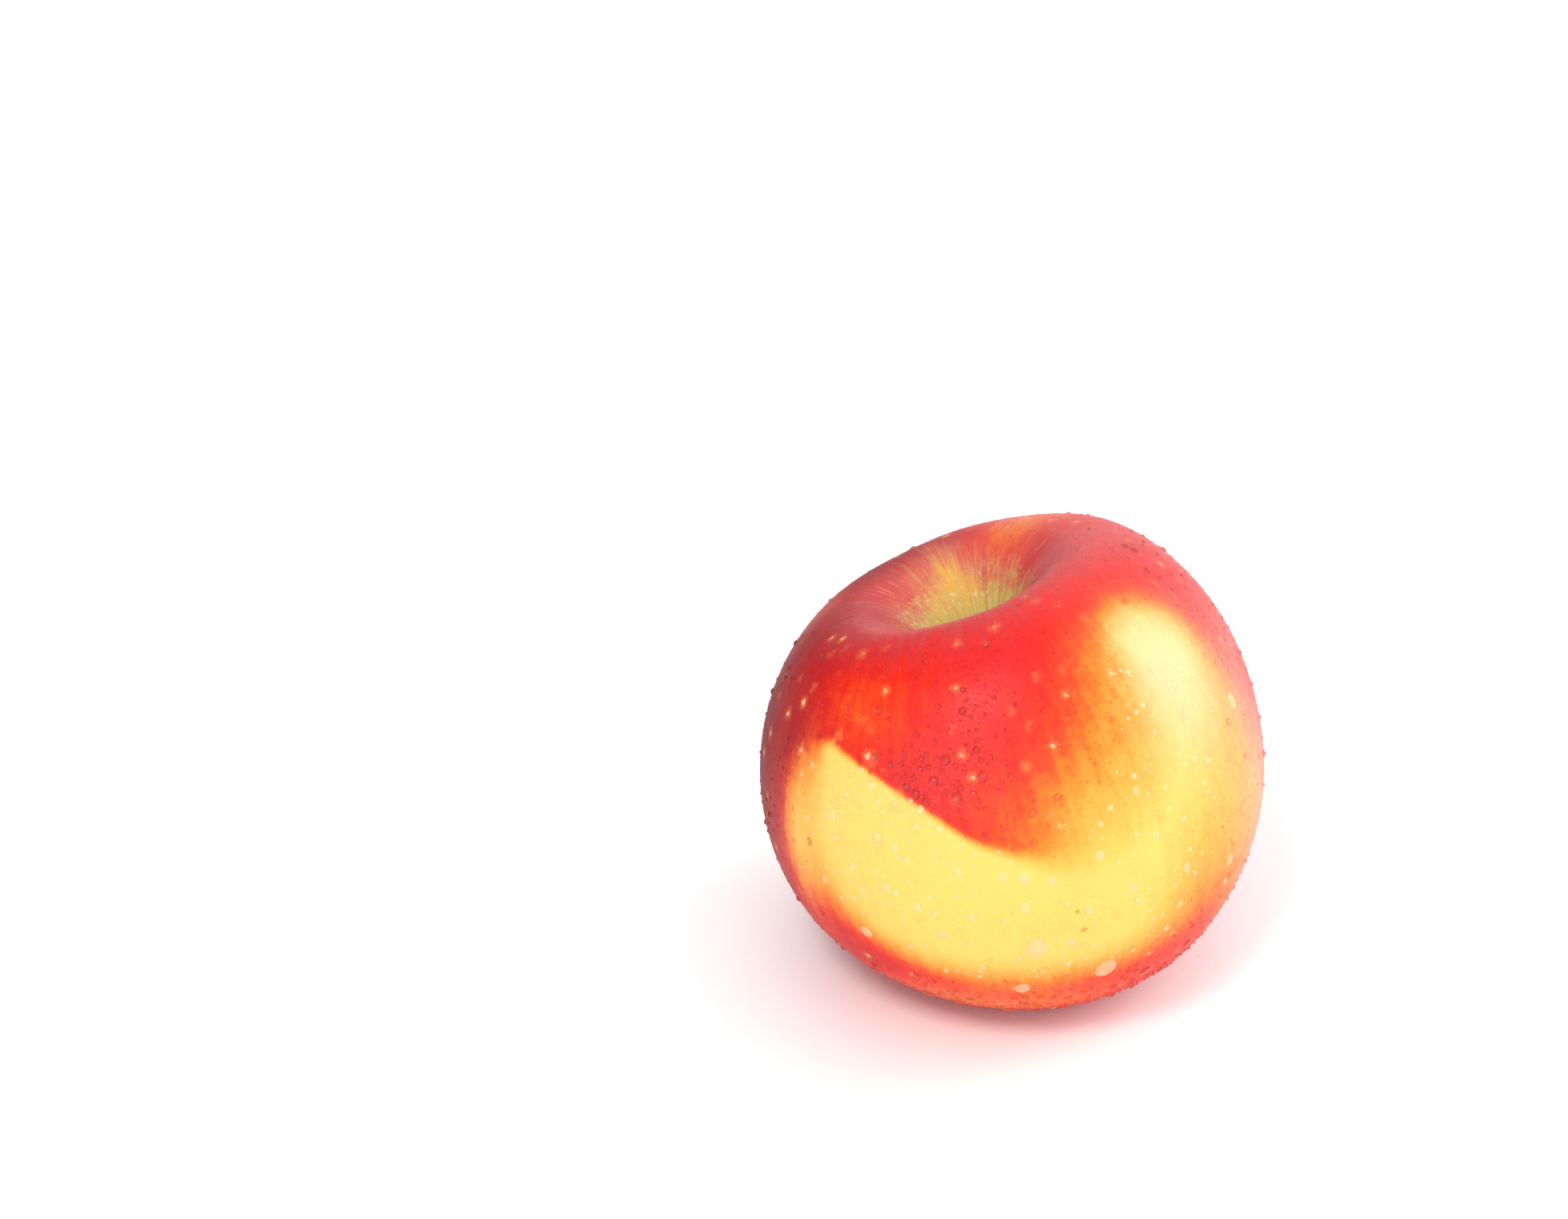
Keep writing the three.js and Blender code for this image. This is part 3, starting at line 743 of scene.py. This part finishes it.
# (azimuth, along in mm, foot radius in mm): the round beads above the yellow patch, and the large flat
# drops on it, below it and on the back.
ROUND_BEADS = [
    (259, 43.7, 0.72), (255, 46.4, 0.75), (260, 49.2, 0.80), (267, 47.0, 0.80), (250, 48.0, 0.70),
    (257, 48.5, 0.45), (252, 44.5, 0.50), (257, 41.0, 0.40), (254, 42.6, 0.42), (264, 49.0, 0.50),
    (263, 43.6, 0.40), (261, 44.8, 0.42), (247, 43.5, 0.42), (244, 41.5, 0.36), (266, 51.5, 0.40),
    (270, 49.5, 0.40), (271, 45.0, 0.36), (240, 39.5, 0.36), (250, 41.0, 0.32), (268, 42.0, 0.34),
]
LARGE_DROPS = [
    (288, 83, 1.7), (271, 75, 1.6), (266, 84.5, 1.2), (230, 73, 1.0), (341, 55.5, 1.1), (219, 88, 1.3),
    (235, 92, 1.4), (260, 96, 1.3), (302, 88, 1.2), (316, 86, 1.0), (250, 90, 1.0), (246, 66, 0.7),
    (266.5, 61.7, 0.7), (271, 62.6, 0.9), (257, 60.2, 0.7), (270, 67.4, 0.8), (277, 63.8, 0.7),
    (288.5, 62.3, 0.7), (264.5, 55, 0.5), (226, 52, 0.7), (231, 60, 0.6), (239, 63, 0.8),
    (243, 56, 0.6), (250, 71, 0.7), (258, 68, 0.6), (284, 70, 0.7), (279, 75, 0.8), (295, 69, 0.7),
    (303, 63, 0.6), (310, 70, 0.7), (301, 56, 0.5), (326, 74, 0.9), (30, 70, 1.2), (60, 84, 1.5),
    (95, 62, 1.1), (120, 88, 1.4), (150, 74, 1.2), (175, 90, 1.5), (80, 94, 1.2), (200, 82, 1.1),
    (10, 90, 1.3), (355, 78, 0.9), (135, 58, 0.8), (45, 52, 0.8),
]
large = np.array(LARGE_DROPS)
wet("large_drops", large[:, 0], large[:, 1], large[:, 2] / 1000, 24, 8, 35, stretch=0.25, sag=0.35)
small = np.array(ROUND_BEADS)
wet("round_beads", small[:, 0], small[:, 1], small[:, 2] / 1000, 24, 8, 74, stretch=0.1, sag=0.2)


def clear_of(azimuth, along, gap, others):
    """Which places lie further than a gap (m, one for each) from every other drop's edge."""
    place, _ = on_skin(azimuth, along)
    clear = np.ones(len(place), bool)
    for other_azimuth, other_along, other_size in others:
        there, _ = on_skin(other_azimuth, other_along)
        squared = (place**2).sum(1)[:, None] + (there**2).sum(1) - 2 * place @ there.T
        clear &= (squared > (gap[:, None] + other_size) ** 2).all(1)
    return clear


def wetness(azimuth, along):
    """How many of the possible drops a place holds: most on the front and low down, none in the cavity."""
    front = bump_at(azimuth, along, 262, 50, 34, 14)
    low = bump_at(azimuth, along, 290, 91, 70, 9)
    sides = smooth_step(along, 20, 34) * (1 - smooth_step(along, 100, 104))
    return np.clip(0.30 + 0.65 * np.maximum(front, low), 0, 1) * sides


# Beads: a few everywhere, a crowd above the yellow patch and more low down, where they are larger.
# None touches another.
BEAD_SIZE = 0.00022
LEAST_GAP = 0.00004
placed = [
    (large[:, 0], large[:, 1], large[:, 2] * 1.25 / 1000),
    (small[:, 0], small[:, 1], small[:, 2] * 1.1 / 1000),
]
spread = [scattered(1.9, 22, 101), scattered(1.15, 34, 58), scattered(1.6, 78, 100)]
bead_azimuth = np.concatenate([azimuth for azimuth, _ in spread])
bead_along = np.concatenate([along for _, along in spread])
crowded = bump_at(bead_azimuth, bead_along, 257, 46, 20, 8)
low = bump_at(bead_azimuth, bead_along, 285, 93, 75, 9)
bead_size = rng.lognormal(np.log(BEAD_SIZE), 0.5, len(bead_azimuth)) * (1 + 0.35 * crowded + 0.7 * low)
bead_size = np.clip(bead_size, 0.00012, 0.0007)
share = wetness(bead_azimuth, bead_along)
share[len(spread[0][0]):] = 0.95 * np.maximum(crowded, 0.8 * low)[len(spread[0][0]):]
kept = rng.uniform(size=len(share)) < share
kept &= clear_of(bead_azimuth, bead_along, bead_size, placed)
bead_azimuth, bead_along, bead_size = bead_azimuth[kept], bead_along[kept], bead_size[kept]
bead_place, _ = on_skin(bead_azimuth, bead_along)
gaps = np.linalg.norm(bead_place[:, None] - bead_place[None], axis=2) - bead_size[:, None] - bead_size
crushed = np.tril(gaps < LEAST_GAP, -1).any(1)
beads = (bead_azimuth[~crushed], bead_along[~crushed], bead_size[~crushed])
wet("beads", *beads, 10, 3, 66, sag=0.2)

# Mist: the finest drops, thickest round the crown and thinnest on the yellow patch, in two meshes.
MIST_SIZE = 0.00010
mist_azimuth, mist_along = scattered(0.80, 19, 103)
mist_size = np.clip(rng.lognormal(np.log(MIST_SIZE), 0.35, len(mist_azimuth)), 0.00005, 0.0002)
mist_share = 0.62 + 0.33 * bump_at(mist_azimuth, mist_along, 60, 28, 100, 9)
mist_share = mist_share - 0.35 * bump_at(mist_azimuth, mist_along, 275, 66, 40, 14)
mist_share = mist_share * smooth_step(mist_along, 19, 25)
kept = rng.uniform(size=len(mist_azimuth)) < mist_share
kept &= clear_of(mist_azimuth, mist_along, mist_size, placed + [beads])
mist = np.array([mist_azimuth[kept], mist_along[kept], mist_size[kept]])
wet("mist_1", *mist[:, ::2], 6, 1, 62)
wet("mist_2", *mist[:, 1::2], 6, 1, 62)


# ---- stem -----------------------------------------------------------------------------------------
# A woody stalk, clipped short when the apple was picked. It flares at its root and at the cut end.

STEM_RADIUS = 0.00125
STEM_FOOT_RADIUS = 0.0017
STEM_TIP_RADIUS = 0.0015
STEM_LENGTH = 0.008
STEM_ROOTED = 0.003
STEM_FLARE = 0.0014
STEM_BEND = 0.0009


def stalk_grid(rings=56, columns=40):
    """Rings up the stalk: its radius steps between the flares, ribs run lengthwise, and the bend
    grows as the square of the height above the root. The last rings draw in over the cut end."""
    up = np.linspace(0, 1, rings)
    knots = [0, STEM_ROOTED, STEM_ROOTED + STEM_FLARE, STEM_LENGTH - STEM_FLARE, STEM_LENGTH]
    sizes = [STEM_FOOT_RADIUS, STEM_FOOT_RADIUS, STEM_RADIUS, STEM_RADIUS, STEM_TIP_RADIUS]
    height = STEM_LENGTH * np.minimum(up / 0.85, 1) + 0.00012 * smooth_step(up, 0.85, 1)
    radius = np.interp(height, knots, sizes) * (1 - 0.97 * np.clip((up - 0.85) / 0.15, 0, 1) ** 1.5)
    around = np.linspace(0, 2 * np.pi, columns, endpoint=False)
    ribs = 1 + 0.05 * np.sin(9 * around) + 0.03 * np.sin(17 * around + 40 * up[:, None])
    lumps = 1 + 0.04 * np.sin(900 * height[:, None] + 2 * around)
    radius = np.minimum(radius[:, None] * ribs * lumps, STEM_FOOT_RADIUS)
    free = np.clip((height - STEM_ROOTED) / (STEM_LENGTH - STEM_ROOTED), 0, 1)[:, None]
    foot = FRUIT_HEIGHT - CAVITY_DEPTH - STEM_ROOTED
    return np.stack([
        radius * np.cos(around) + STEM_BEND * free**2,
        radius * np.sin(around),
        foot + height[:, None] + 0 * around,
    ], -1)


stem = closed_surface("stalk", as_grown(stalk_grid())[::-1])
wood, tree, shader, place = new_material("stalk_wood", {"Roughness": 0.75, "Specular IOR Level": 0.35})
stretched = node(tree, "ShaderNodeMapping", {"Vector": place, "Scale": (1.0, 1.0, 0.15)})
fibre = noise(tree, stretched.outputs["Vector"], 2600, 4, 0.6)
patches = noise(tree, place, 500, 3)
BARK_BROWNS = [(0.3, 0.075, 0.042, 0.015), (0.5, 0.20, 0.125, 0.045), (0.7, 0.36, 0.27, 0.11)]
bark = ramp(tree, fibre, BARK_BROWNS)
bark = blend(tree, fade(tree, patches, 0.45, 0.65, 0.0, 0.6), bark, (0.16, 0.17, 0.05))
tree.links.new(bark, shader.inputs["Base Color"])
add_bump(tree, shader, fibre, 0.6, 0.0001)
stem.data.materials.append(wood)
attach(stem, "root")
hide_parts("stem")


# ---- calyx ----------------------------------------------------------------------------------------
# What is left of the flower: five dry sepals curled back round a pit, and in the pit a tuft of
# withered stamens. All of it is brown, brittle and a little woolly.

SEPALS = 5
SEPAL_LENGTH = 0.0042
SEPAL_WIDTH = 0.0026
SEPAL_THICKNESS = 0.0005
SEPAL_ROOT_SHARE = 0.8
SEPAL_BELLY_SHARE = 1.3
SEPAL_CURL = 55
SEPAL_RING_GAP = 0.0008
FIT_GAP = 0.0003
TUFT_LENGTH = 0.0045
STAMENS = 20

dry_leaf, tree, shader, place = new_material("dry_leaf", {"Roughness": 0.9, "Specular IOR Level": 0.2})
veins = noise(tree, place, 2200, 4, 0.65)
LEAF_BROWNS = [(0.3, 0.05, 0.028, 0.012), (0.5, 0.16, 0.10, 0.045), (0.72, 0.34, 0.26, 0.15)]
leaf_brown = ramp(tree, veins, LEAF_BROWNS)
tree.links.new(leaf_brown, shader.inputs["Base Color"])
add_bump(tree, shader, veins, 0.7, 0.0001)


def basin_height(radius):
    """Height of the basin's surface at a radius, read off the fruit's outline."""
    basin = bezier([(BASE_RADIUS, 0), (BASE_RADIUS - BASIN_LIP, 0), (BASIN_FLOOR_WIDTH, BASIN_DEPTH),
                    (0, BASIN_DEPTH)])
    return np.interp(radius, basin[::-1, 0], basin[::-1, 1])


def sepal_grid(index, rings=26, columns=24):
    """Rings along a leaf: a flat oval section whose width swells and then runs to a point, carried
    down an arc that curls outwards, with a keel along its middle and a ruffle that grows to the tip."""
    s = np.linspace(0, 1, rings)[:, None]
    around = np.linspace(0, 2 * np.pi, columns, endpoint=False)[None]
    half = SEPAL_WIDTH / 2
    width = half * ((1 - s) ** 2 * SEPAL_ROOT_SHARE + 2 * s * (1 - s) * SEPAL_BELLY_SHARE) + 0.00004
    thick = SEPAL_THICKNESS / 2 * (0.55 + 0.25 * np.cos(np.pi * s)) * (1 - 0.6 * s**3)
    across = width * np.cos(around)
    ruffle = 0.00010 * s * np.sin(9 * s + 2.2 * index) * np.cos(2 * around)
    off = thick * np.sin(around) + SEPAL_THICKNESS / 2 + 0.00012 * (np.cos(around) ** 2) * s + ruffle
    curl = radians(SEPAL_CURL)
    turned = curl * s
    bend_radius = SEPAL_LENGTH / curl - off
    outwards = SEPAL_LENGTH / curl - bend_radius * np.cos(turned)
    downwards = bend_radius * np.sin(turned)
    inner = PIT_RADIUS + SEPAL_RING_GAP
    corner = np.hypot(inner + SEPAL_THICKNESS + FIT_GAP, half * SEPAL_ROOT_SHARE)
    x, z = inner + outwards, basin_height(corner) - FIT_GAP - downwards
    spin = radians(LOBE_AZIMUTH) + 2 * np.pi * index / SEPALS
    return np.stack([
        x * np.cos(spin) - across * np.sin(spin),
        x * np.sin(spin) + across * np.cos(spin),
        z + 0 * across,
    ], -1)


for index in range(SEPALS):
    sepal = closed_surface(f"dry_sepal_{index + 1}", as_grown(sepal_grid(index))[::-1])
    sepal.data.materials.append(dry_leaf)
    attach(sepal, "root")
    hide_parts(f"sepal_{index + 1}")


def stamen_grids(rings=14, sides=7):
    """Threads that rise from the pit's floor and splay outwards with the square of their length, each
    thicker at its tip where the anther dried. Returns (stamens, rings, sides, 3)."""
    number = np.arange(STAMENS)[:, None, None]
    s = np.linspace(0, 1, rings)[None, :, None]
    around = np.linspace(0, 2 * np.pi, sides, endpoint=False)[None, None]
    spin = number * 2.399963
    reach = np.sqrt((number + 0.5) / STAMENS)
    room = PIT_RADIUS - FIT_GAP - 0.0003
    out = room * reach * (0.55 + 0.45 * s**2)
    length = TUFT_LENGTH * (0.78 + 0.2 * np.cos(3.7 * number))
    thread = 0.00011 * (1 - 0.4 * s) + 0.00013 * np.exp(-(((s - 0.93) / 0.06) ** 2))
    thread = thread * np.where((s == 0) | (s == 1), 0.25, 1.0)
    wave = 0.00012 * np.sin(7 * s + 1.9 * number)
    root = BASIN_DEPTH + PIT_DEPTH - FIT_GAP
    return np.stack([
        out * np.cos(spin) + wave * np.sin(spin) + thread * np.cos(around),
        out * np.sin(spin) - wave * np.cos(spin) + thread * np.sin(around),
        root - length * s + 0 * around,
    ], -1)


threads = as_grown(stamen_grids())
rings, sides = threads.shape[1:3]
corner = np.arange(rings * sides).reshape(rings, sides)
after = np.roll(corner, -1, 1)
walls = np.stack([corner[:-1], corner[1:], after[1:], after[:-1]], -1).reshape(-1, 4)
shift = rings * sides * np.arange(STAMENS)[:, None, None]
faces = (walls[None] + shift).reshape(-1, 4).tolist()
for row in (corner[:1], corner[-1:, ::-1]):
    faces += (row[None] + shift).reshape(-1, sides).tolist()
tuft = new_piece("dry_stamens", threads.reshape(-1, 3), faces)
withered, tree, shader, place = new_material("withered_thread", {
    "Roughness": 0.9, "Specular IOR Level": 0.2,
})
THREAD_BROWNS = [(0.35, 0.020, 0.012, 0.008), (0.65, 0.13, 0.08, 0.04)]
dark = ramp(tree, noise(tree, place, 1800, 3), THREAD_BROWNS)
tree.links.new(dark, shader.inputs["Base Color"])
tuft.data.materials.append(withered)
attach(tuft, "root")
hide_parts("stamen_tuft")
